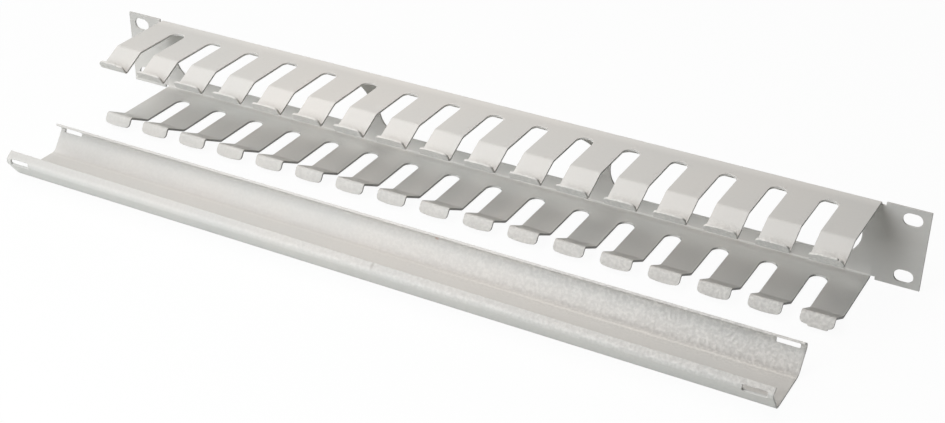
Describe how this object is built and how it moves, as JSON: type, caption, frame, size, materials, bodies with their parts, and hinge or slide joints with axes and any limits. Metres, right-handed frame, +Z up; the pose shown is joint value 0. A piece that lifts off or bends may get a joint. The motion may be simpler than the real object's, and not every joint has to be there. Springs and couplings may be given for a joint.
{
  "type": "horizontal cable manager",
  "caption": "Rack-mount horizontal cable manager: a folded steel finger panel with slotted ears, and its open channel cover lying beside it.",
  "frame": {"origin": "centre of the ear-slot pattern, on the rear face of the ears that sits against the rack rails", "axes": "+X right along the rack width, +Y back into the rack, +Z up; the fingers point to -Y"},
  "size_m": [0.4826, 0.1359, 0.044],
  "materials": {
    "panel_coat": "light grey powder coat, satin, fine orange-peel texture",
    "cover_coat": "light grey powder coat, satin, coarser wrinkle on the inner faces"
  },
  "bodies": {
    "panel": {"finger_panel": "panel_coat"},
    "cover": {"cover": "cover_coat"}
  },
  "joints": [
    {"name": "cover_lift", "type": "slide", "parent": "panel", "child": "cover", "axis": [0, 0, 1], "range_m": [0, 0.1]}
  ]
}
